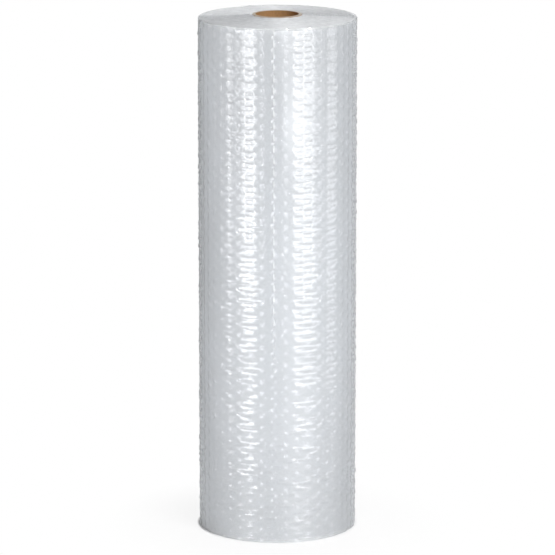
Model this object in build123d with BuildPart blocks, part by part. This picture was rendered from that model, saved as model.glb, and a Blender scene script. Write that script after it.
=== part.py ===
"""A roll of bubble cushioning film on a cardboard core, standing on its end.

The core is a plain paper tube. The film is one long strip, wound on the core in a spiral with its flat
side out and its bubbles in. The turns are drawn as half circles about two centres that lie half a turn's
pitch apart, so each half circle meets the next one without a kink. Each column of bubbles under the last
turn lifts its film into a shallow ridge, and the film dips to the seal line between two columns.

The origin is on the core's axis at the bottom end of the roll, with +Z up the core.
"""

import os
from math import cos, pi, radians, sin, sqrt

from build123d import *

# Core, in millimetres
core_bore = 50.8  # a two-inch spindle core
core_wall = 3.2
core_proud = 3.2  # the core is cut an eighth of an inch longer than the film is wide

# Film, in millimetres
film_width = 609.6  # a 24-inch film, the height of the wound turns
bubble_height = 2.85  # film with its bubbles, as pressed together in the roll
turn_gap = 0.4  # air left between a turn and the next
turns = 20
glue_line = 0.1  # between the core and the first turn
bubble_pitch = 13.62  # from bubble to bubble along a column
ridge_height = 0.5  # of the film over a column of bubbles, above the seal lines beside it

# Where the cut end of the film lies, in degrees round the core from +X
tail_angle = 116.5

# Worked out from the sizes above
core_radius = core_bore / 2 + core_wall
half_pitch = (bubble_height + turn_gap) / 2
first_radius = core_radius + glue_line
column_spacing = bubble_pitch * sqrt(3) / 2  # the bubbles of two columns side by side are staggered
half_turns = 2 * turns
last_turn = half_turns - 2  # the half turn where the last full turn starts
HALF_TURN = 180.0


def turn_centre(half_turn):
    """Even half turns are drawn about the core's axis, and odd ones half a pitch along from it."""
    return (half_pitch * (half_turn % 2), 0)


def turn_radius(half_turn):
    """Radius of the film's inner face on a half turn."""
    return first_radius + half_pitch * half_turn


def turn_start(half_turn):
    """Angle where a half turn starts, in degrees."""
    return HALF_TURN * (half_turn % 2)


def polar(centre, radius, angle):
    """A point at a radius and an angle in degrees from a centre."""
    return (centre[0] + radius * cos(radians(angle)), centre[1] + radius * sin(radians(angle)))


def bubble_ridges(half_turn):
    """The outer face of a half turn as a row of shallow arcs, one over each column of bubbles."""
    centre = turn_centre(half_turn)
    crest = turn_radius(half_turn) + bubble_height
    columns = round(pi * crest / column_spacing)
    step = HALF_TURN / columns
    for column in range(columns):
        angle = turn_start(half_turn) + column * step
        ThreePointArc(
            polar(centre, crest - ridge_height, angle),
            polar(centre, crest, angle + step / 2),
            polar(centre, crest - ridge_height, angle + step),
        )


os.makedirs("parts", exist_ok=True)

# Cardboard core, from the floor to a little above the film
with BuildPart() as core_tube:
    with BuildSketch():
        Circle(core_radius)
        Circle(core_bore / 2, mode=Mode.SUBTRACT)
    extrude(amount=film_width + core_proud)
core_tube.part.label = "core_tube"

# Film, in a plane turned so that its two ends lie at the tail angle
winding_plane = Plane.XY.rotated((0, 0, tail_angle))
with BuildPart() as bubble_film:
    with BuildSketch(winding_plane):
        with BuildLine():
            # Inner face of every turn, from the core outwards
            for half_turn in range(half_turns):
                CenterArc(turn_centre(half_turn), turn_radius(half_turn), turn_start(half_turn), HALF_TURN)
            # Outer face of the turns that another turn covers
            for half_turn in range(last_turn):
                crest = turn_radius(half_turn) + bubble_height
                CenterArc(turn_centre(half_turn), crest, turn_start(half_turn), HALF_TURN)
            # Outer face of the last turn, and the step down to it from the turn below
            for half_turn in range(last_turn, half_turns):
                bubble_ridges(half_turn)
            covered = turn_radius(last_turn) + bubble_height
            Line((covered, 0), (covered - ridge_height, 0))
            # The film's two cut ends
            Line((first_radius, 0), (first_radius + bubble_height, 0))
            tail = turn_radius(half_turns)
            Line((tail, 0), (tail + bubble_height - ridge_height, 0))
        make_face()
    extrude(amount=film_width)
bubble_film.part.label = "bubble_film"

export_step(core_tube.part, "parts/core_tube.step")
export_step(bubble_film.part, "parts/bubble_film.step")
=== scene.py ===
"""Looks of a standing roll of bubble cushioning film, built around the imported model.

The last turn of the film is two sheets, as on the real film: a flat clear sheet outside, and a formed sheet
behind it whose bubbles stand inwards. The flat sheet is a fine grid and the formed one a honeycomb of cells.
Both are laid out flat, get the same leaning wrinkles and are wound on the roll in the same way. Behind them
lie the turns below, which show as one milky body, and at both ends the cut edges of those turns. The core is
a paper tube.
"""

from math import cos, pi, radians, sin, sqrt

import bpy
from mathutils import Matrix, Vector


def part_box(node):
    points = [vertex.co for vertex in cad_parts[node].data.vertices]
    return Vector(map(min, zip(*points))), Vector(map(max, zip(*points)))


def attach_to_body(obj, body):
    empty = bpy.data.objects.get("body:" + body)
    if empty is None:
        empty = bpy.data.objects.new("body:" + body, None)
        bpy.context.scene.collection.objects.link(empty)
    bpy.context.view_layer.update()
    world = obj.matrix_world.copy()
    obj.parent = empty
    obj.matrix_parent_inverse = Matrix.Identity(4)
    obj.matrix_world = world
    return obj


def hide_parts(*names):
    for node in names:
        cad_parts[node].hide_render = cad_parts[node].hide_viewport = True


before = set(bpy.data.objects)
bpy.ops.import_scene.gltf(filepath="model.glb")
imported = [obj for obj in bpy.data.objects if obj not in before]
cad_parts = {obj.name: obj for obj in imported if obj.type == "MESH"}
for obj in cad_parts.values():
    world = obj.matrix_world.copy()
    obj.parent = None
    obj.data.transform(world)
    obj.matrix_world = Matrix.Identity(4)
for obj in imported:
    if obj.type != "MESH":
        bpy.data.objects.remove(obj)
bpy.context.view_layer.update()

bl_info = {
    "name": "Bubble film roll",
    "version": (1, 0, 0),
    "blender": (4, 5, 0),
    "location": "3D Viewport > Sidebar > Bubble Roll",
    "description": "Builds the film, core and stage of a standing roll of bubble cushioning film",
    "category": "Add Mesh",
}

MM = 0.001
BODY = "root"
ROLL_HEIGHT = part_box("bubble_film")[1].z
CORE_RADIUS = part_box("core_tube")[1].x
CORE_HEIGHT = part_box("core_tube")[1].z

# Inputs that several node trees share
WINDING_INPUTS = ("First Radius", "Half Pitch", "Tail Angle")
RELIEF_INPUTS = ("Column Angle", "Row Pitch", "Ridge", "Smile", "Wrinkle")
SHEET_INPUTS = (*RELIEF_INPUTS, *WINDING_INPUTS, "Height", "Lift", "Ragged")


def linear(hex_colour):
    """An sRGB hex colour as linear red, green, blue."""
    shares = [int(hex_colour[start : start + 2], 16) / 255 for start in (1, 3, 5)]
    return tuple(s / 12.92 if s <= 0.04045 else ((s + 0.055) / 1.055) ** 2.4 for s in shares)


class RollSizes(bpy.types.PropertyGroup):
    """Sizes of the wound film, the core and the cut ends."""

    film_height: bpy.props.FloatProperty(
        name="Film height", description="Film with its bubbles, as pressed together in the roll",
        default=2.85 * MM, unit="LENGTH",
    )
    turn_gap: bpy.props.FloatProperty(
        name="Turn gap", description="Air between a turn and the next", default=0.4 * MM, unit="LENGTH",
    )
    glue_line: bpy.props.FloatProperty(
        name="Glue line", description="Between the core and the first turn", default=0.1 * MM, unit="LENGTH",
    )
    turns: bpy.props.IntProperty(name="Turns", description="Turns of film on the core", default=20)
    tail_angle: bpy.props.FloatProperty(
        name="Tail angle", description="Where the cut end of the film lies, round the core from +X",
        default=radians(116.5), subtype="ANGLE",
    )
    columns: bpy.props.IntProperty(
        name="Columns", description="Columns of bubbles round the last turn", default=50,
    )
    bubble_pitch: bpy.props.FloatProperty(
        name="Bubble pitch", description="From bubble to bubble along a column",
        default=13.62 * MM, unit="LENGTH",
    )
    bubble_radius: bpy.props.FloatProperty(
        name="Bubble radius", description="Radius of a bubble at its rim", default=6.1 * MM, unit="LENGTH",
    )
    ridge: bpy.props.FloatProperty(
        name="Ridge", description="Height of the wrinkle along the seal under a bubble",
        default=1.5 * MM, unit="LENGTH",
    )
    smile: bpy.props.FloatProperty(
        name="Smile", description="Rise of a wrinkle one column away from its middle, in bubble pitches",
        default=0.5,
    )
    # Where the painted highlight, a white dashed line standing in for a crease's glint, runs up the roll
    glint_angle: bpy.props.FloatProperty(
        name="Fold angle", description="Where an old fold in the film runs up the roll, from +X",
        default=radians(-92.3), subtype="ANGLE",
    )
    edge_depth: bpy.props.FloatProperty(
        name="Edge depth", description="How far down the cut edges of the turns show at an end",
        default=2.5 * MM, unit="LENGTH",
    )
    edge_wall: bpy.props.FloatProperty(
        name="Edge wall", description="Thickness of a cut film edge, drawn thick enough to show",
        default=0.3 * MM, unit="LENGTH",
    )


class RollColours(bpy.types.PropertyGroup):
    """Colours of the film, the core and the stage."""

    film: bpy.props.FloatVectorProperty(
        name="Film haze", description="White scatter of the clear film", subtype="COLOR",
        default=linear("#F5F7F9"),
    )
    wound: bpy.props.FloatVectorProperty(
        name="Wound film", description="Milky look of many clear turns", subtype="COLOR",
        default=linear("#DCE1E8"),
    )
    card: bpy.props.FloatVectorProperty(
        name="Core card", description="Brown paper board of the core", subtype="COLOR",
        default=linear("#D0A271"),
    )
    cut_card: bpy.props.FloatVectorProperty(
        name="Cut card", description="Pale plies at the core's cut ends", subtype="COLOR",
        default=linear("#D3C9BB"),
    )
    floor: bpy.props.FloatVectorProperty(
        name="Floor", description="White studio floor", subtype="COLOR", default=linear("#F8F8F8"),
    )


class RollSettings(bpy.types.PropertyGroup):
    """All settings of the roll."""

    sizes: bpy.props.PointerProperty(type=RollSizes)
    colours: bpy.props.PointerProperty(type=RollColours)


def settings():
    """The sizes and colours in use."""
    roll = bpy.context.scene.bubble_roll
    return roll.sizes, roll.colours


def add_node(tree, kind, links=None, **properties):
    """Adds a node, sets its own properties, and links its sockets or sets their values.

    A link is a socket, or a node, which stands for its first output.
    """
    node = tree.nodes.new(kind)
    for name, value in properties.items():
        setattr(node, name, value)
    for socket, value in (links or {}).items():
        if isinstance(value, bpy.types.Node):
            value = value.outputs[0]
        if isinstance(value, bpy.types.NodeSocket):
            tree.links.new(value, node.inputs[socket])
        else:
            node.inputs[socket].default_value = value
    return node


def new_tree(name, inputs, output):
    """A geometry node tree with one output, and its group input's and group output's sockets.

    The inputs are names, listed under their kind of socket.
    """
    tree = bpy.data.node_groups.new(name, "GeometryNodeTree")
    for kind, names in inputs.items():
        for socket in names:
            tree.interface.new_socket(socket, in_out="INPUT", socket_type="NodeSocket" + kind)
    tree.interface.new_socket(output[0], in_out="OUTPUT", socket_type="NodeSocket" + output[1])
    given = tree.nodes.new("NodeGroupInput").outputs
    result = tree.nodes.new("NodeGroupOutput").inputs
    return tree, given, result


def winding_tree():
    """Winds a flat point on the roll. X is the angle along the film, Y the height off its inner face.

    The film follows half circles about two centres half a pitch apart, as the turns of the solid do.
    """
    inputs = {"Vector": ("Flat",), "Float": WINDING_INPUTS}
    tree, given, result = new_tree("Wind on the core", inputs, ("Wound", "Vector"))
    flat = add_node(tree, "ShaderNodeSeparateXYZ", {0: given["Flat"]}).outputs
    halves = add_node(tree, "ShaderNodeMath", {0: flat["X"], 1: pi}, operation="DIVIDE")
    half = add_node(tree, "ShaderNodeMath", {0: halves}, operation="FLOOR")
    odd = add_node(tree, "ShaderNodeMath", {0: half, 1: 2.0}, operation="FLOORED_MODULO")
    shift = add_node(tree, "ShaderNodeMath", {0: odd, 1: given["Half Pitch"]}, operation="MULTIPLY")
    base = add_node(tree, "ShaderNodeMath", {0: given["First Radius"], 1: flat["Y"]}, operation="ADD")
    radius = add_node(
        tree, "ShaderNodeMath", {0: half, 1: given["Half Pitch"], 2: base}, operation="MULTIPLY_ADD"
    )
    cosine = add_node(tree, "ShaderNodeMath", {0: flat["X"]}, operation="COSINE")
    sine = add_node(tree, "ShaderNodeMath", {0: flat["X"]}, operation="SINE")
    x = add_node(tree, "ShaderNodeMath", {0: radius, 1: cosine, 2: shift}, operation="MULTIPLY_ADD")
    y = add_node(tree, "ShaderNodeMath", {0: radius, 1: sine}, operation="MULTIPLY")
    point = add_node(tree, "ShaderNodeCombineXYZ", {"X": x, "Y": y, "Z": flat["Z"]})
    turned = add_node(
        tree, "ShaderNodeVectorRotate", {"Vector": point, "Angle": given["Tail Angle"]},
        rotation_type="Z_AXIS",
    )
    tree.links.new(turned.outputs[0], result[0])
    return tree


def relief_tree():
    """How far the film of the last turn lies below its highest level.

    The film is pulled tight round the roll, so it wrinkles along the seals: a ridge runs under each bubble,
    curves up at both ends and fades into the columns beside it. It leans, steep below its crest and gentle
    above, and soft waves in the sheet shift it up and down.
    """
    inputs = {"Float": ("Angle", "Height", "First Radius", *RELIEF_INPUTS)}
    tree, given, result = new_tree("Film relief", inputs, ("Relief", "Float"))
    column = add_node(
        tree, "ShaderNodeMath", {0: given["Angle"], 1: given["Column Angle"]}, operation="DIVIDE"
    )
    even_row = add_node(
        tree, "ShaderNodeMath", {0: given["Height"], 1: given["Row Pitch"]}, operation="DIVIDE"
    )

    # Soft waves in the whole sheet
    waves_per_metre = 45.0
    most_shift = 0.7  # of a bubble pitch
    girth = add_node(
        tree, "ShaderNodeMath", {0: given["Angle"], 1: given["First Radius"]}, operation="MULTIPLY"
    )
    flat = add_node(tree, "ShaderNodeCombineXYZ", {"X": girth, "Z": given["Height"]})
    wave = add_node(tree, "ShaderNodeTexNoise", {"Vector": flat, "Scale": waves_per_metre, "Detail": 2.0})
    row = add_node(tree, "ShaderNodeMath", {0: wave, 1: most_shift, 2: even_row}, operation="MULTIPLY_ADD")

    # A ridge's form
    fall_power = 3.3  # of the gentle slope above a crest
    climb_start = 0.89  # of the steep slope up to the next crest, in bubble pitches above this one
    foot_below_crest = 0.2  # in bubble pitches
    least_height = 0.3  # of the ridge height
    fade_start = 0.4  # in columns from its own
    shares = []
    for odd in (0, 1):
        # Distance from the nearest column of this kind, and the place between two of its crests
        shifted = add_node(tree, "ShaderNodeMath", {0: column, 1: 0.5 + odd}, operation="SUBTRACT")
        away = add_node(tree, "ShaderNodeMath", {0: shifted, 1: 1.0}, operation="PINGPONG")
        squared = add_node(tree, "ShaderNodeMath", {0: away, 1: away}, operation="MULTIPLY")
        stagger = 0.5 * odd - 0.5
        raised = add_node(
            tree, "ShaderNodeMath", {0: squared, 1: given["Smile"], 2: stagger}, operation="MULTIPLY_ADD"
        )
        along = add_node(tree, "ShaderNodeMath", {0: row, 1: raised}, operation="SUBTRACT")
        above = add_node(tree, "ShaderNodeMath", {0: along}, operation="FRACT")
        left = add_node(tree, "ShaderNodeMath", {0: 1.0, 1: above}, operation="SUBTRACT")
        fall = add_node(tree, "ShaderNodeMath", {0: left, 1: fall_power}, operation="POWER")
        climb = add_node(
            tree, "ShaderNodeMapRange", {"Value": above, "From Min": climb_start, "From Max": 1.0},
            interpolation_type="SMOOTHSTEP",
        )
        profile = add_node(tree, "ShaderNodeMath", {0: fall, 1: climb}, operation="MAXIMUM")

        # Each ridge has a height of its own
        pair = add_node(tree, "ShaderNodeMath", {0: shifted, 1: 0.5}, operation="MULTIPLY")
        nearest = add_node(tree, "ShaderNodeMath", {0: pair}, operation="ROUND")
        crest = add_node(tree, "ShaderNodeMath", {0: along, 1: foot_below_crest}, operation="ADD")
        bubble = add_node(tree, "ShaderNodeMath", {0: crest}, operation="FLOOR")
        place = add_node(tree, "ShaderNodeCombineXYZ", {"X": nearest, "Y": bubble, "Z": float(odd)})
        chance = add_node(tree, "ShaderNodeTexWhiteNoise", {"Vector": place})
        height = add_node(tree, "ShaderNodeMapRange", {"Value": chance, "To Min": least_height})
        reach = add_node(
            tree, "ShaderNodeMapRange",
            {"Value": away, "From Min": fade_start, "From Max": 1.0, "To Min": 1.0, "To Max": 0.0},
            interpolation_type="SMOOTHSTEP",
        )
        faded = add_node(tree, "ShaderNodeMath", {0: profile, 1: reach}, operation="MULTIPLY")
        shares.append(add_node(tree, "ShaderNodeMath", {0: faded, 1: height}, operation="MULTIPLY"))
    both = add_node(tree, "ShaderNodeMath", {0: shares[0], 1: shares[1]}, operation="MAXIMUM")
    below = add_node(tree, "ShaderNodeMath", {0: both, 1: 1.0}, operation="SUBTRACT")
    ridged = add_node(tree, "ShaderNodeMath", {0: below, 1: given["Ridge"]}, operation="MULTIPLY")
    sunk = add_node(tree, "ShaderNodeMath", {0: wave, 1: 1.0}, operation="SUBTRACT")
    relief = add_node(
        tree, "ShaderNodeMath", {0: sunk, 1: given["Wrinkle"], 2: ridged}, operation="MULTIPLY_ADD"
    )
    tree.links.new(relief.outputs[0], result[0])
    return tree


def wind(tree, given, winding, flat):
    """Winds a flat place on the roll with the winding inputs of a tree."""
    sizes = {name: given[name] for name in WINDING_INPUTS}
    return add_node(tree, "GeometryNodeGroup", {"Flat": flat, **sizes}, node_tree=winding)


def put_on_roll(tree, given, relief, winding, mesh, flat):
    """Ends a sheet's tree: adds the relief to a flat place, winds it, smooths it and sets its material."""
    place = add_node(tree, "ShaderNodeSeparateXYZ", {0: flat}).outputs
    sizes = {name: given[name] for name in ("First Radius", *RELIEF_INPUTS)}
    lying = add_node(
        tree, "GeometryNodeGroup", {"Angle": place["X"], "Height": place["Z"], **sizes}, node_tree=relief
    )
    y = add_node(tree, "ShaderNodeMath", {0: place["Y"], 1: lying}, operation="ADD")
    formed = add_node(tree, "ShaderNodeCombineXYZ", {"X": place["X"], "Y": y, "Z": place["Z"]})
    wound = wind(tree, given, winding, formed)
    rolled = add_node(tree, "GeometryNodeSetPosition", {0: mesh, "Position": wound})
    smooth = add_node(tree, "GeometryNodeSetShadeSmooth", {0: rolled})
    return add_node(tree, "GeometryNodeSetMaterial", {0: smooth, "Material": given["Material"]})


def uneven_ends(tree, given, angle):
    """Heights of the film's two edges, which run a little unevenly round the roll, less so at the bottom."""
    waves_per_radian = 9.0
    bottom_share = 0.2
    uneven = add_node(
        tree, "ShaderNodeTexNoise", {"W": angle, "Scale": waves_per_radian, "Detail": 3.0},
        noise_dimensions="1D",
    )
    short = add_node(tree, "ShaderNodeMath", {0: uneven, 1: given["Ragged"]}, operation="MULTIPLY")
    top = add_node(tree, "ShaderNodeMath", {0: given["Height"], 1: short}, operation="SUBTRACT")
    bottom = add_node(tree, "ShaderNodeMath", {0: short, 1: bottom_share}, operation="MULTIPLY")
    return bottom, top


def flat_sheet_tree(winding, relief):
    """The flat sheet of the last turn: a fine grid over the whole turn, trimmed to the film and wound."""
    inputs = {
        "Int": ("Columns", "Column Steps", "Row Steps"), "Float": SHEET_INPUTS, "Material": ("Material",),
    }
    tree, given, result = new_tree("Flat sheet", inputs, ("Sheet", "Geometry"))
    whole = add_node(
        tree, "ShaderNodeMath", {0: given["Columns"], 1: given["Column Angle"]}, operation="MULTIPLY"
    )
    steps = {"Vertices X": given["Column Steps"], "Vertices Y": given["Row Steps"]}
    grid = add_node(tree, "GeometryNodeMeshGrid", {"Size X": whole, "Size Y": given["Height"], **steps})
    position = add_node(tree, "GeometryNodeInputPosition")
    place = add_node(tree, "ShaderNodeSeparateXYZ", {0: position}).outputs
    angle = add_node(tree, "ShaderNodeMath", {0: whole, 1: 0.5, 2: place["X"]}, operation="MULTIPLY_ADD")
    level = add_node(
        tree, "ShaderNodeMath", {0: given["Height"], 1: 0.5, 2: place["Y"]}, operation="MULTIPLY_ADD"
    )
    bottom, top = uneven_ends(tree, given, angle)
    z = add_node(tree, "ShaderNodeClamp", {"Value": level, "Min": bottom, "Max": top})
    flat = add_node(tree, "ShaderNodeCombineXYZ", {"X": angle, "Y": given["Lift"], "Z": z})
    sheet = put_on_roll(tree, given, relief, winding, grid, flat)
    tree.links.new(sheet.outputs[0], result[0])
    return tree


def formed_sheet_tree(winding, relief):
    """The formed sheet of the last turn: a honeycomb of cells laid flat, trimmed to the film and wound."""
    inputs = {
        "Geometry": ("Cell",), "Int": ("Columns", "Rows", "Seed"),
        "Float": (*SHEET_INPUTS, "Column Width", "Slack"), "Material": ("Material",),
    }
    tree, given, result = new_tree("Bubble sheet", inputs, ("Sheet", "Geometry"))

    # Centres of the cells, every other column half a pitch up
    count = add_node(tree, "ShaderNodeMath", {0: given["Columns"], 1: given["Rows"]}, operation="MULTIPLY")
    index = add_node(tree, "GeometryNodeInputIndex")
    along = add_node(tree, "ShaderNodeMath", {0: index, 1: given["Rows"]}, operation="DIVIDE")
    column = add_node(tree, "ShaderNodeMath", {0: along}, operation="FLOOR")
    row = add_node(tree, "ShaderNodeMath", {0: index, 1: given["Rows"]}, operation="MODULO")
    odd = add_node(tree, "ShaderNodeMath", {0: column, 1: 2.0}, operation="MODULO")
    half_up = add_node(tree, "ShaderNodeMath", {0: odd, 1: 0.5, 2: row}, operation="MULTIPLY_ADD")
    middle = add_node(tree, "ShaderNodeMath", {0: column, 1: 0.5}, operation="ADD")
    x = add_node(tree, "ShaderNodeMath", {0: middle, 1: given["Column Angle"]}, operation="MULTIPLY")
    z = add_node(tree, "ShaderNodeMath", {0: half_up, 1: given["Row Pitch"]}, operation="MULTIPLY")
    centre = add_node(tree, "ShaderNodeCombineXYZ", {"X": x, "Y": given["Lift"], "Z": z})
    points = add_node(tree, "GeometryNodePoints", {"Count": count, "Position": centre})

    # One cell on each centre, each bubble filled a little differently
    turn_share = add_node(
        tree, "ShaderNodeMath", {0: given["Column Angle"], 1: given["Column Width"]}, operation="DIVIDE"
    )
    least = add_node(tree, "ShaderNodeMath", {0: 1.0, 1: given["Slack"]}, operation="SUBTRACT")
    filled = add_node(
        tree, "FunctionNodeRandomValue", {2: least, 3: 1.0, "Seed": given["Seed"]}, data_type="FLOAT"
    ).outputs[1]
    scale = add_node(tree, "ShaderNodeCombineXYZ", {"X": turn_share, "Y": filled, "Z": 1.0})
    cells = add_node(
        tree, "GeometryNodeInstanceOnPoints", {"Points": points, "Instance": given["Cell"], "Scale": scale}
    )
    laid = add_node(tree, "GeometryNodeRealizeInstances", {0: cells})
    seam = 0.004 * MM
    sheet = add_node(tree, "GeometryNodeMergeByDistance", {0: laid, "Distance": seam})

    # Trim to the film's own edges: faces that lie wholly beyond them go, and the rest is pulled in
    position = add_node(tree, "GeometryNodeInputPosition")
    place = add_node(tree, "ShaderNodeSeparateXYZ", {0: position}).outputs
    end = add_node(
        tree, "ShaderNodeMath", {0: given["Columns"], 1: given["Column Angle"]}, operation="MULTIPLY"
    )
    bottom, top = uneven_ends(tree, given, place["X"])
    beyond = [
        add_node(tree, "ShaderNodeMath", {0: place[axis], 1: limit}, operation=side)
        for axis, limit, side in (
            ("X", 0.0, "LESS_THAN"), ("X", end, "GREATER_THAN"),
            ("Z", bottom, "LESS_THAN"), ("Z", top, "GREATER_THAN"),
        )
    ]
    outside = beyond[0]
    for limit in beyond[1:]:
        outside = add_node(tree, "ShaderNodeMath", {0: outside, 1: limit}, operation="MAXIMUM")
    per_point = add_node(tree, "GeometryNodeFieldOnDomain", {0: outside}, domain="POINT")
    nearly_all = 0.999
    waste = add_node(tree, "ShaderNodeMath", {0: per_point, 1: nearly_all}, operation="GREATER_THAN")
    cut = add_node(tree, "GeometryNodeDeleteGeometry", {0: sheet, "Selection": waste}, domain="FACE")
    x = add_node(tree, "ShaderNodeClamp", {"Value": place["X"], "Min": 0.0, "Max": end})
    z = add_node(tree, "ShaderNodeClamp", {"Value": place["Z"], "Min": bottom, "Max": top})
    flat = add_node(tree, "ShaderNodeCombineXYZ", {"X": x, "Y": place["Y"], "Z": z})
    trimmed = put_on_roll(tree, given, relief, winding, cut, flat)
    tree.links.new(trimmed.outputs[0], result[0])
    return tree


def edge_tree(winding):
    """The cut edges of the turns at one end: a flat line of film, and a scalloped one inside it."""
    inputs = {
        "Int": ("Steps",),
        "Float": (
            "Turns", "Height", "Depth", "Wall", "Lift", "Scallop", "Column Width", "Ragged", "Rise",
            *WINDING_INPUTS,
        ),
        "Material": ("Material",),
    }
    tree, given, result = new_tree("Turn edges", inputs, ("Edges", "Geometry"))
    whole = add_node(tree, "ShaderNodeMath", {0: given["Turns"], 1: 2 * pi}, operation="MULTIPLY")
    far = add_node(tree, "ShaderNodeCombineXYZ", {"X": whole})
    line = add_node(tree, "GeometryNodeCurvePrimitiveLine", {"Start": (0, 0, 0), "End": far})
    strip = add_node(tree, "GeometryNodeResampleCurve", {"Curve": line, "Count": given["Steps"]})
    position = add_node(tree, "GeometryNodeInputPosition")
    angle = add_node(tree, "ShaderNodeSeparateXYZ", {0: position}).outputs["X"]

    # Length along the film, and from it the bulge across a bubble
    roundness = 0.6
    squared = add_node(tree, "ShaderNodeMath", {0: angle, 1: angle}, operation="MULTIPLY")
    growth = add_node(tree, "ShaderNodeMath", {0: given["Half Pitch"], 1: 2 * pi}, operation="DIVIDE")
    start = add_node(tree, "ShaderNodeMath", {0: angle, 1: given["First Radius"]}, operation="MULTIPLY")
    length = add_node(tree, "ShaderNodeMath", {0: squared, 1: growth, 2: start}, operation="MULTIPLY_ADD")
    column = add_node(tree, "ShaderNodeMath", {0: length, 1: given["Column Width"]}, operation="DIVIDE")
    across = add_node(tree, "ShaderNodeMath", {0: column, 1: pi}, operation="MULTIPLY")
    wave = add_node(tree, "ShaderNodeMath", {0: across}, operation="SINE")
    bulge = add_node(tree, "ShaderNodeMath", {0: wave}, operation="ABSOLUTE")
    round_bulge = add_node(tree, "ShaderNodeMath", {0: bulge, 1: roundness}, operation="POWER")
    inward = add_node(tree, "ShaderNodeMath", {0: round_bulge, 1: given["Scallop"]}, operation="MULTIPLY")
    scalloped = add_node(tree, "ShaderNodeMath", {0: given["Lift"], 1: inward}, operation="SUBTRACT")

    # Height of the edge, uneven along the film and, where it has a rise, higher towards the core
    waves_per_radian = 2.3
    uneven = add_node(
        tree, "ShaderNodeTexNoise", {"W": angle, "Scale": waves_per_radian, "Detail": 2.0},
        noise_dimensions="1D",
    )
    sink = add_node(tree, "ShaderNodeMath", {0: uneven, 1: given["Ragged"]}, operation="MULTIPLY")
    level = add_node(tree, "ShaderNodeMath", {0: given["Height"], 1: sink}, operation="SUBTRACT")
    covered = add_node(tree, "ShaderNodeMath", {0: angle, 1: whole}, operation="DIVIDE")
    inner = add_node(tree, "ShaderNodeMath", {0: 1.0, 1: covered}, operation="SUBTRACT")
    height = add_node(
        tree, "ShaderNodeMath", {0: inner, 1: given["Rise"], 2: level}, operation="MULTIPLY_ADD"
    )

    section = add_node(
        tree, "GeometryNodeCurvePrimitiveQuadrilateral", {"Width": given["Wall"], "Height": given["Depth"]}
    )
    joined = add_node(tree, "GeometryNodeJoinGeometry")
    for offset in (given["Lift"], scalloped):
        flat = add_node(tree, "ShaderNodeCombineXYZ", {"X": angle, "Y": offset, "Z": height})
        wound = wind(tree, given, winding, flat)
        path = add_node(tree, "GeometryNodeSetPosition", {0: strip, "Position": wound})
        upright = add_node(tree, "GeometryNodeSetCurveNormal", {0: path}, mode="Z_UP")
        wall = add_node(
            tree, "GeometryNodeCurveToMesh",
            {"Curve": upright, "Profile Curve": section, "Fill Caps": True},
        )
        tree.links.new(wall.outputs[0], joined.inputs[0])
    finished = add_node(tree, "GeometryNodeSetMaterial", {0: joined, "Material": given["Material"]})
    tree.links.new(finished.outputs[0], result[0])
    return tree


def grow(piece_name, start_mesh, tree, values):
    """Runs a node tree on a mesh with its named inputs set, and keeps the result as a plain mesh object."""
    piece = bpy.data.objects.new(piece_name, start_mesh)
    bpy.context.scene.collection.objects.link(piece)
    modifier = piece.modifiers.new("Grow", "NODES")
    modifier.node_group = tree
    sockets = {item.name: item.identifier for item in tree.interface.items_tree if item.in_out == "INPUT"}
    for name, value in values.items():
        modifier[sockets[name]] = value
    depsgraph = bpy.context.evaluated_depsgraph_get()
    mesh = bpy.data.meshes.new_from_object(piece.evaluated_get(depsgraph), depsgraph=depsgraph)
    piece.modifiers.remove(modifier)
    piece.data = mesh
    mesh.name = piece_name
    if not mesh.polygons:
        raise RuntimeError(f"{piece_name} came out empty")
    return piece


def attach(piece, node):
    """Puts a piece on its body and hides the solid that it stands for."""
    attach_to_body(piece, BODY)
    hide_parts(node)


def ring_cell(name, pitch, rings, centre_height):
    """One honeycomb cell as a mesh: its six-sided border, round rings inside it and a centre.

    Each ring is a radius and a height off the border.
    """
    sides = 12
    spokes = [(cos(2 * pi * step / sides), sin(2 * pi * step / sides)) for step in range(sides)]
    points = []
    for step, (x, z) in enumerate(spokes):
        reach = pitch / 2 if step % 2 else pitch / sqrt(3)
        points.append((reach * x, 0.0, reach * z))
    for radius, height in rings:
        points += [(radius * x, height, radius * z) for x, z in spokes]
    centre = len(points)
    points.append((0.0, centre_height, 0.0))
    faces = []
    last = sides * len(rings)
    for outer in range(0, last, sides):
        inner = outer + sides
        for step in range(sides):
            after = (step + 1) % sides
            faces.append((inner + step, inner + after, outer + after, outer + step))
    faces += [(centre, last + (step + 1) % sides, last + step) for step in range(sides)]
    mesh = bpy.data.meshes.new(name)
    mesh.from_pydata(points, [], faces)
    return mesh


def new_material(name):
    """An empty node material with its output node."""
    material = bpy.data.materials.new(name)
    material.use_nodes = True
    tree = material.node_tree
    tree.nodes.clear()
    return material, tree, tree.nodes.new("ShaderNodeOutputMaterial")


def near_ends(tree, z, whole, start, stop, middle_value, end_value):
    """A value up an upright tube that changes near both its ends, between two distances from an end."""
    off_middle = add_node(tree, "ShaderNodeMath", {0: z, 1: whole / 2}, operation="SUBTRACT")
    reach = add_node(tree, "ShaderNodeMath", {0: off_middle}, operation="ABSOLUTE")
    limits = {"From Min": whole / 2 - start, "From Max": whole / 2 - stop}
    return add_node(
        tree, "ShaderNodeMapRange", {"Value": reach, **limits, "To Min": middle_value, "To Max": end_value}
    )


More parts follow.
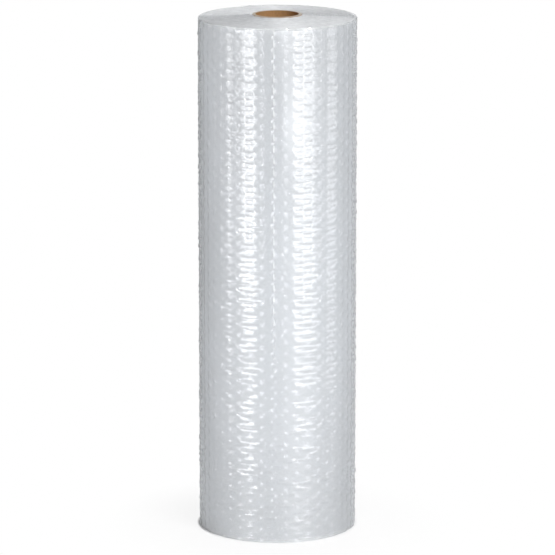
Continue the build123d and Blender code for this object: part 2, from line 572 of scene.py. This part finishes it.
def painted_crease_glint(tree, place, sizes):
    """Painted highlight: a line of short white dashes up the roll's front, standing in for the glint of a
    crease along the seals.
    """
    split = add_node(tree, "ShaderNodeSeparateXYZ", {0: place}).outputs
    angle = add_node(tree, "ShaderNodeMath", {0: split["Y"], 1: split["X"]}, operation="ARCTAN2")
    aside = add_node(tree, "ShaderNodeMath", {0: angle, 1: -sizes.glint_angle}, operation="ADD")
    off_line = add_node(tree, "ShaderNodeMath", {0: aside}, operation="ABSOLUTE")
    reach = {"From Min": radians(0.2), "From Max": radians(0.6)}
    line = add_node(
        tree, "ShaderNodeMapRange", {"Value": off_line, **reach, "To Min": 1.0, "To Max": 0.0}
    )
    pitch = sizes.bubble_pitch
    along = add_node(tree, "ShaderNodeMath", {0: split["Z"], 1: pitch / 2}, operation="PINGPONG")
    dash = add_node(
        tree, "ShaderNodeMapRange", {"Value": along, "From Min": 0.1 * pitch, "From Max": 0.3 * pitch}
    )
    upper = add_node(
        tree, "ShaderNodeMapRange",
        {"Value": split["Z"], "From Min": 0.3 * ROLL_HEIGHT, "From Max": 0.5 * ROLL_HEIGHT},
    )
    dashed = add_node(tree, "ShaderNodeMath", {0: line, 1: dash}, operation="MULTIPLY")
    return add_node(tree, "ShaderNodeMath", {0: dashed, 1: upper}, operation="MULTIPLY")


def clear_film(name, colour, haze, gloss, roughness, glow, glint_sizes=None):
    """Blown polyethylene film: clear, with a slight white haze and a wet-looking gloss.

    Part of the gloss is a glow, smeared up and down by fine wrinkles that run round the roll.
    """
    material, tree, output = new_material(name)
    place = add_node(tree, "ShaderNodeTexCoord").outputs["Object"]
    cloud = add_node(tree, "ShaderNodeTexNoise", {"Vector": place, "Scale": 30.0, "Detail": 4.0})
    slant = add_node(tree, "ShaderNodeLayerWeight", {"Blend": 0.5}).outputs["Facing"]

    # Haze, nearly solid where the film is seen edge on
    most_haze = 0.95
    edge_on = add_node(tree, "ShaderNodeMath", {0: slant, 1: 6.0}, operation="POWER")
    cloudy = add_node(
        tree, "ShaderNodeMapRange", {"Value": cloud, "To Min": 0.6 * haze, "To Max": 1.4 * haze}
    )
    amount = add_node(
        tree, "ShaderNodeMapRange", {"Value": edge_on, "To Min": cloudy, "To Max": most_haze}
    )
    # Painted highlight: more white haze along a dashed line up the roll's front
    if glint_sizes:
        painted_glint = painted_crease_glint(tree, place, glint_sizes)
        amount = add_node(tree, "ShaderNodeMath", {0: painted_glint, 1: 0.5, 2: amount}, operation="MULTIPLY_ADD")
    clear = add_node(tree, "ShaderNodeBsdfTransparent", {"Color": (0.98, 0.985, 0.99, 1)})
    milky = add_node(tree, "ShaderNodeBsdfDiffuse", {"Color": (*colour, 1)})
    sheet = add_node(tree, "ShaderNodeMixShader", {0: amount, 1: clear, 2: milky})

    # Gloss, sharp and glowing
    scratch = add_node(
        tree, "ShaderNodeMapRange", {"Value": cloud, "To Min": 0.7 * roughness, "To Max": 1.3 * roughness}
    )
    sharp = add_node(tree, "ShaderNodeBsdfAnisotropic", {"Roughness": scratch})
    around = add_node(tree, "ShaderNodeTangent", direction_type="RADIAL", axis="Z")
    soft = add_node(
        tree, "ShaderNodeBsdfAnisotropic", {"Roughness": 0.46, "Anisotropy": 0.5, "Tangent": around}
    )
    shine = add_node(tree, "ShaderNodeMixShader", {0: glow, 1: sharp, 2: soft})
    turned = add_node(tree, "ShaderNodeMath", {0: slant, 1: 2.0}, operation="POWER")
    share = add_node(tree, "ShaderNodeMapRange", {"Value": turned, "To Min": gloss, "To Max": 0.0})
    film = add_node(tree, "ShaderNodeMixShader", {0: share, 1: sheet, 2: shine})
    tree.links.new(film.outputs[0], output.inputs["Surface"])
    return material


def wound_film(colour):
    """Many turns of clear film, one on another: a milky, faintly blue body with a soft gloss."""
    material, tree, output = new_material("Wound polyethylene film")
    place = add_node(tree, "ShaderNodeTexCoord").outputs["Object"]
    cloud = add_node(tree, "ShaderNodeTexNoise", {"Vector": place, "Scale": 60.0, "Detail": 3.0})
    shade = add_node(tree, "ShaderNodeValToRGB", {0: cloud})
    shade.color_ramp.elements[0].color = (*[0.85 * share for share in colour], 1)
    shade.color_ramp.elements[1].color = (*colour, 1)

    # Painted shade: darker near both ends, where it lies down between the cut edges of the turns
    z = add_node(tree, "ShaderNodeSeparateXYZ", {0: place}).outputs["Z"]
    between = near_ends(tree, z, ROLL_HEIGHT, 3 * MM, 2.2 * MM, 1.0, 0.65)
    deep = add_node(
        tree, "ShaderNodeMix", {0: 1.0, 6: shade, 7: between}, data_type="RGBA", blend_type="MULTIPLY"
    ).outputs[2]
    bump = add_node(tree, "ShaderNodeBump", {"Height": cloud, "Strength": 0.3, "Distance": 1 * MM})
    body = add_node(
        tree, "ShaderNodeBsdfPrincipled",
        {"Base Color": deep, "Roughness": 0.3, "IOR": 1.5, "Specular IOR Level": 1.0, "Normal": bump},
    )
    tree.links.new(body.outputs[0], output.inputs["Surface"])
    return material


def film_edge(colour):
    """The cut edge of clear film: whiter than its face, because the edge gathers the light in the sheet."""
    material, tree, output = new_material("Cut polyethylene edge")
    place = add_node(tree, "ShaderNodeTexCoord").outputs["Object"]
    cloud = add_node(tree, "ShaderNodeTexNoise", {"Vector": place, "Scale": 150.0})
    amount = add_node(tree, "ShaderNodeMapRange", {"Value": cloud, "To Min": 0.6, "To Max": 0.9})
    clear = add_node(tree, "ShaderNodeBsdfTransparent")
    body = add_node(
        tree, "ShaderNodeBsdfPrincipled", {"Base Color": (*colour, 1), "Roughness": 0.3, "IOR": 1.5}
    )
    edge = add_node(tree, "ShaderNodeMixShader", {0: amount, 1: clear, 2: body})
    tree.links.new(edge.outputs[0], output.inputs["Surface"])
    return material


def core_board(colour, cut_colour):
    """Spiral-wound kraft board: brown, matt and fibrous, with a helical seam and a pale cut end."""
    material, tree, output = new_material("Spiral-wound kraft board")
    place = add_node(tree, "ShaderNodeTexCoord").outputs["Object"]
    split = add_node(tree, "ShaderNodeSeparateXYZ", {0: place}).outputs
    fibre = add_node(tree, "ShaderNodeTexNoise", {"Vector": place, "Scale": 400.0, "Detail": 6.0})
    shade = add_node(tree, "ShaderNodeValToRGB", {0: fibre})
    shade.color_ramp.elements[0].color = (*[0.75 * share for share in colour], 1)
    shade.color_ramp.elements[1].color = (*[1.2 * share for share in colour], 1)

    # The seam between two turns of the paper strip, a line that climbs round the tube
    strip_width = 95 * MM
    angle = add_node(tree, "ShaderNodeMath", {0: split["Y"], 1: split["X"]}, operation="ARCTAN2")
    turned = add_node(tree, "ShaderNodeMath", {0: angle, 1: 2 * pi}, operation="DIVIDE")
    climb = add_node(
        tree, "ShaderNodeMath", {0: split["Z"], 1: 1 / strip_width, 2: turned}, operation="MULTIPLY_ADD"
    )
    along = add_node(tree, "ShaderNodeMath", {0: climb, 1: 0.5}, operation="PINGPONG")
    seam = add_node(
        tree, "ShaderNodeMapRange",
        {"Value": along, "From Min": 0.004, "From Max": 0.012, "To Min": 0.55, "To Max": 1.0},
    )
    seamed = add_node(
        tree, "ShaderNodeMix", {0: 1.0, 6: shade, 7: seam}, data_type="RGBA", blend_type="MULTIPLY"
    ).outputs[2]

    # The cut ends, where the pale plies of the board show
    ply_width = 1.0 * MM
    at_end = near_ends(tree, split["Z"], CORE_HEIGHT, 0.4 * MM, 0.1 * MM, 0.0, 1.0)
    flat = add_node(tree, "ShaderNodeCombineXYZ", {"X": split["X"], "Y": split["Y"]})
    off_axis = add_node(tree, "ShaderNodeVectorMath", {0: flat}, operation="LENGTH").outputs["Value"]
    ply = add_node(tree, "ShaderNodeMath", {0: off_axis, 1: ply_width / 2}, operation="PINGPONG")
    ply_shade = add_node(
        tree, "ShaderNodeMapRange",
        {"Value": ply, "From Max": 0.15 * ply_width, "To Min": 0.8, "To Max": 1.0},
    )
    cut_end = add_node(
        tree, "ShaderNodeMix", {0: 1.0, 6: (*cut_colour, 1), 7: ply_shade}, data_type="RGBA",
        blend_type="MULTIPLY",
    ).outputs[2]
    both = add_node(tree, "ShaderNodeMix", {0: at_end, 6: seamed, 7: cut_end}, data_type="RGBA").outputs[2]
    bump = add_node(tree, "ShaderNodeBump", {"Height": fibre, "Strength": 0.3, "Distance": 0.2 * MM})
    board = add_node(
        tree, "ShaderNodeBsdfPrincipled",
        {"Base Color": both, "Roughness": 0.85, "Specular IOR Level": 0.2, "Normal": bump},
    )
    tree.links.new(board.outputs[0], output.inputs["Surface"])
    return material


def seen_or_mirrored(tree):
    """One where a surface is looked at, mirrored or seen through another, zero where it only gives light."""
    path = add_node(tree, "ShaderNodeLightPath").outputs
    seen = path["Is Camera Ray"]
    for ray in ("Is Glossy Ray", "Is Transmission Ray"):
        seen = add_node(tree, "ShaderNodeMath", {0: seen, 1: path[ray]}, operation="MAXIMUM")
    return seen


def studio_white(colour, kept_shadow):
    """White studio floor: pure white to the camera, with a faint part of its shadow kept round the roll."""
    material, tree, output = new_material("White studio floor")
    seen = seen_or_mirrored(tree)
    place = add_node(tree, "ShaderNodeTexCoord").outputs["Object"]
    away = add_node(tree, "ShaderNodeVectorMath", {0: place}, operation="LENGTH").outputs["Value"]
    shadow = {"From Min": 90 * MM, "From Max": 220 * MM, "To Min": 1 - kept_shadow}
    near = add_node(
        tree, "ShaderNodeMapRange", {"Value": away, **shadow}, interpolation_type="SMOOTHSTEP"
    )
    # No white under the film, which would shine through it
    foot = {"From Min": 93 * MM, "From Max": 96 * MM}
    under = add_node(tree, "ShaderNodeMapRange", {"Value": away, **foot}, interpolation_type="SMOOTHSTEP")
    bright = add_node(tree, "ShaderNodeMath", {0: near, 1: under}, operation="MULTIPLY")
    share = add_node(tree, "ShaderNodeMath", {0: seen, 1: bright}, operation="MULTIPLY")
    matt = add_node(tree, "ShaderNodeBsdfDiffuse", {"Color": (*colour, 1)})
    white = add_node(tree, "ShaderNodeEmission", {"Color": (1, 1, 1, 1), "Strength": 1.0})
    floor = add_node(tree, "ShaderNodeMixShader", {0: share, 1: matt, 2: white})
    tree.links.new(floor.outputs[0], output.inputs["Surface"])
    return material


def half_pitch(sizes):
    """Half of the distance from a turn to the next."""
    return (sizes.film_height + sizes.turn_gap) / 2


def first_radius(sizes):
    """Radius of the film's inner face where the first turn starts."""
    return CORE_RADIUS + sizes.glue_line


def last_turn_radius(sizes):
    """Radius of the film's inner face where the last turn starts."""
    return first_radius(sizes) + half_pitch(sizes) * 2 * (sizes.turns - 1)


def column_width(sizes):
    """Distance between columns of bubbles, which are staggered."""
    return sizes.bubble_pitch * sqrt(3) / 2


def sheet_values(sizes, material, below=0.0):
    """Inputs that both sheets of the last turn share. The second one lies a little below the first."""
    return {
        "Columns": sizes.columns,
        "Column Angle": 2 * pi / sizes.columns,
        "Row Pitch": sizes.bubble_pitch,
        "Height": ROLL_HEIGHT,
        "Lift": sizes.film_height - below,
        "Ridge": sizes.ridge,
        "Smile": sizes.smile,
        "Wrinkle": 0.2 * MM,
        "Ragged": 1.2 * MM,
        "First Radius": last_turn_radius(sizes),
        "Half Pitch": half_pitch(sizes),
        "Tail Angle": sizes.tail_angle,
        "Material": material,
    }


class BuildOuterFilm(bpy.types.Operator):
    """Adds the flat clear sheet of the last turn, which wrinkles along the seals"""

    bl_idname = "bubble_roll.outer_film"
    bl_label = "Outer film"

    def execute(self, context):
        sizes, colours = settings()
        steps_per_column = 2
        steps_per_bubble = 21
        film = clear_film(
            "Clear polyethylene film", colours.film, haze=0.06, gloss=0.26, roughness=0.11, glow=0.6,
            glint_sizes=sizes,
        )
        values = sheet_values(sizes, film)
        values["Column Steps"] = steps_per_column * sizes.columns + 1
        values["Row Steps"] = round(steps_per_bubble * ROLL_HEIGHT / sizes.bubble_pitch) + 1
        tree = flat_sheet_tree(winding_tree(), relief_tree())
        sheet = grow("outer_film", bpy.data.meshes.new("outer_film"), tree, values)
        attach(sheet, "bubble_film")
        return {"FINISHED"}


class BuildBubbleLayer(bpy.types.Operator):
    """Adds the formed sheet of the last turn, whose bubbles stand inwards"""

    bl_idname = "bubble_roll.bubble_layer"
    bl_label = "Bubble layer"

    def execute(self, context):
        sizes, colours = settings()
        rim = sizes.bubble_radius
        below = 0.25 * MM
        depth = sizes.film_height - sizes.ridge - below + 0.1 * MM
        rings = [(rim, 0.0), (0.84 * rim, -0.45 * depth), (0.55 * rim, -0.83 * depth)]
        cell = ring_cell("bubble_layer", sizes.bubble_pitch, rings, -depth)
        film = clear_film(
            "Formed polyethylene film", colours.film, haze=0.10, gloss=0.28, roughness=0.07, glow=0.1
        )
        values = sheet_values(sizes, film, below)
        values["Rows"] = int(ROLL_HEIGHT / sizes.bubble_pitch) + 2
        values["Column Width"] = column_width(sizes)
        values["Slack"] = 0.3
        values["Seed"] = 7
        sheet = grow("bubble_layer", cell, formed_sheet_tree(winding_tree(), relief_tree()), values)
        attach(sheet, "bubble_film")
        return {"FINISHED"}


def turn_point(sizes, angle, outward):
    """A point on the last turn, at an angle along it and a distance off the film's inner face."""
    half = int(angle / pi) if angle < 2 * pi else 1
    radius = last_turn_radius(sizes) + half_pitch(sizes) * half + outward
    x = half_pitch(sizes) * half + radius * cos(angle)
    y = radius * sin(angle)
    turn = sizes.tail_angle
    return (x * cos(turn) - y * sin(turn), x * sin(turn) + y * cos(turn))


class BuildInnerTurns(bpy.types.Operator):
    """Adds the turns below the last one as one milky body round the core"""

    bl_idname = "bubble_roll.inner_turns"
    bl_label = "Inner turns"

    def execute(self, context):
        sizes, colours = settings()
        steps = 200
        inner_radius = first_radius(sizes)
        low = 0.1 * MM
        deep = sizes.edge_depth - 0.5 * MM  # its top lies a little above the lower side of the cut edges
        levels = ((low, low), (ROLL_HEIGHT - deep, CORE_HEIGHT - deep))
        points = []
        for z, inner_z in levels:
            for step in range(steps + 1):
                points.append((*turn_point(sizes, 2 * pi * step / steps, -sizes.turn_gap), z))
            for step in range(steps):
                angle = sizes.tail_angle + 2 * pi * step / steps
                points.append((inner_radius * cos(angle), inner_radius * sin(angle), inner_z))
        level = 2 * steps + 1
        faces = []
        for step in range(steps):
            after = step + 1
            inner = steps + 1 + step
            inner_after = steps + 1 + after % steps
            faces.append((step, after, level + after, level + step))
            faces.append((inner_after, inner, level + inner, level + inner_after))
            bottom = [inner, inner_after, after, step]
            if after == steps:
                bottom.insert(2, 0)
            faces.append(tuple(bottom))
            faces.append(tuple(level + corner for corner in reversed(bottom)))
        faces.append((steps, 0, level, level + steps))
        mesh = bpy.data.meshes.new("inner_turns")
        mesh.from_pydata(points, [], faces)
        for face in mesh.polygons:
            face.use_smooth = abs(face.normal.z) < 0.5
        mesh.materials.append(wound_film(colours.wound))
        body = bpy.data.objects.new("inner_turns", mesh)
        context.scene.collection.objects.link(body)
        attach(body, "bubble_film")
        return {"FINISHED"}


class BuildFilmEdges(bpy.types.Operator):
    """Adds the cut edges of the inner turns at both ends of the roll"""

    bl_idname = "bubble_roll.film_edges"
    bl_label = "Film edges"

    def execute(self, context):
        sizes, colours = settings()
        tree = edge_tree(winding_tree())
        inner_turns = sizes.turns - 1
        steps_per_turn = 300
        ragged = 0.8 * MM
        values = {
            "Turns": float(inner_turns),
            "Steps": steps_per_turn * inner_turns,
            "Depth": sizes.edge_depth,
            "Wall": sizes.edge_wall,
            "Lift": sizes.film_height - sizes.edge_wall / 2,
            "Scallop": sizes.film_height - 2 * sizes.edge_wall,
            "Column Width": column_width(sizes),
            "Ragged": ragged,
            "First Radius": first_radius(sizes),
            "Half Pitch": half_pitch(sizes),
            "Tail Angle": sizes.tail_angle,
            "Material": film_edge(colours.film),
        }
        ends = {
            "top_edges": (ROLL_HEIGHT - sizes.edge_depth / 2, CORE_HEIGHT - ROLL_HEIGHT),
            "bottom_edges": (sizes.edge_depth / 2 + ragged, 0.0),
        }
        for name, (height, rise) in ends.items():
            values["Height"] = height
            values["Rise"] = rise
            edges = grow(name, bpy.data.meshes.new(name), tree, values)
            attach(edges, "bubble_film")
        return {"FINISHED"}


class BuildCore(bpy.types.Operator):
    """Gives the paper tube its finish"""

    bl_idname = "bubble_roll.core"
    bl_label = "Core"

    def execute(self, context):
        colours = settings()[1]
        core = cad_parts["core_tube"]
        core.data.materials.clear()
        core.data.materials.append(core_board(colours.card, colours.cut_card))
        return {"FINISHED"}


def add_lamp(name, size, power, place, rotation):
    """Adds a soft rectangular lamp that the camera doesn't see."""
    lamp = bpy.data.lights.new(name, "AREA")
    lamp.shape = "RECTANGLE"
    lamp.size, lamp.size_y = size
    lamp.energy = power
    box = bpy.data.objects.new(name, lamp)
    box.location = place
    box.rotation_euler = rotation
    box.visible_camera = False
    bpy.context.scene.collection.objects.link(box)
    return box


class BuildStage(bpy.types.Operator):
    """Adds the white floor, the lamps, the white surroundings and the camera"""

    bl_idname = "bubble_roll.stage"
    bl_label = "Stage"

    def execute(self, context):
        colours = settings()[1]
        scene = context.scene
        reach = 12.0
        mesh = bpy.data.meshes.new("floor")
        corners = [(-reach, -reach, 0), (reach, -reach, 0), (reach, reach, 0), (-reach, reach, 0)]
        mesh.from_pydata(corners, [], [(0, 1, 2, 3)])
        mesh.materials.append(studio_white(colours.floor, kept_shadow=0.14))
        floor = bpy.data.objects.new("floor", mesh)
        scene.collection.objects.link(floor)

        # Softboxes that only show as reflections: two in front for the two bright bands, each with a low
        # part, a narrow one at each side for the specks on the bubbles there, and one behind
        distance = 1.6
        for name, azimuth, width, bottom, top, power in (
            ("left", -41, 0.64, 0.32, 0.95, 2.5),
            ("right", 41, 0.96, 0.32, 0.95, 2.4),
            ("left_low", -41, 0.64, 0.02, 0.32, 2.0),
            ("right_low", 41, 0.96, 0.02, 0.32, 1.9),
            ("left_side", -72, 0.26, 0.02, 0.95, 1.1),
            ("right_side", 84, 0.40, 0.02, 0.95, 1.4),
            ("back", 180, 0.80, 0.02, 0.95, 6.0),
        ):
            turn = radians(azimuth)
            place = (distance * sin(turn), -distance * cos(turn), (bottom + top) / 2)
            size = (width, top - bottom)
            box = add_lamp(name + "_softbox", size, power, place, (radians(90), 0, turn))
            box.visible_diffuse = False

        # A fill light in front, a small one for the foot of the roll, one high on the right, one above, and
        # one behind for the sides that the camera misses
        for name, place, size, aim_height, power, mirrored in (
            ("fill", (0.0, -1.2, 0.22), (0.7, 0.16), 0.35, 9.3, False),
            ("foot", (0.08, -0.36, 0.03), (0.4, 0.04), 0.05, 0.32, False),
            ("high", (0.95, -1.5, 2.4), (0.9, 0.7), 0.35, 36, True),
            ("above", (0.25, -0.5, 2.6), (0.6, 0.6), 0.35, 12, True),
            ("back", (0.0, 1.75, 0.42), (0.8, 0.8), 0.35, 25, False),
        ):
            aim = Vector((0, 0, aim_height)) - Vector(place)
            rotation = aim.to_track_quat("-Z", "Y").to_euler()
            box = add_lamp(name + "_light", size, power, place, rotation)
            box.visible_glossy = mirrored

        # White surroundings to the camera, and a faint light from all sides
        world = bpy.data.worlds.new("studio")
        scene.world = world
        world.use_nodes = True
        tree = world.node_tree
        tree.nodes.clear()
        seen = seen_or_mirrored(tree)
        faint = add_node(tree, "ShaderNodeBackground", {"Color": (1, 1, 1, 1), "Strength": 0.04})
        white = add_node(tree, "ShaderNodeBackground", {"Color": (1, 1, 1, 1), "Strength": 1.0})
        both = add_node(tree, "ShaderNodeMixShader", {0: seen, 1: faint, 2: white})
        add_node(tree, "ShaderNodeOutputWorld", {"Surface": both})

        camera = bpy.data.cameras.new("camera")
        camera.lens = 259.1
        camera.sensor_width = 36.0
        view = bpy.data.objects.new("camera", camera)
        view.location = (0.0005, -4.6, 1.3176)
        pitch_down = 12.49
        view.rotation_euler = (radians(90 - pitch_down), 0, 0)
        scene.collection.objects.link(view)
        scene.camera = view
        scene.view_settings.view_transform = "Standard"
        return {"FINISHED"}


BUILDERS = (BuildOuterFilm, BuildBubbleLayer, BuildInnerTurns, BuildFilmEdges, BuildCore, BuildStage)


class RollPanel(bpy.types.Panel):
    """Lists the pieces of the roll"""

    bl_idname = "VIEW3D_PT_bubble_roll"
    bl_label = "Bubble Roll"
    bl_space_type = "VIEW_3D"
    bl_region_type = "UI"
    bl_category = "Bubble Roll"

    def draw(self, context):
        for builder in BUILDERS:
            self.layout.operator(builder.bl_idname)


CLASSES = (RollSizes, RollColours, RollSettings, *BUILDERS, RollPanel)


def register():
    for item in CLASSES:
        bpy.utils.register_class(item)
    bpy.types.Scene.bubble_roll = bpy.props.PointerProperty(type=RollSettings)


def unregister():
    del bpy.types.Scene.bubble_roll
    for item in reversed(CLASSES):
        bpy.utils.unregister_class(item)


def main():
    """Builds the roll and its stage."""
    register()
    for builder in BUILDERS:
        group, name = builder.bl_idname.split(".")
        getattr(getattr(bpy.ops, group), name)()


if __name__ == "__main__":
    main()
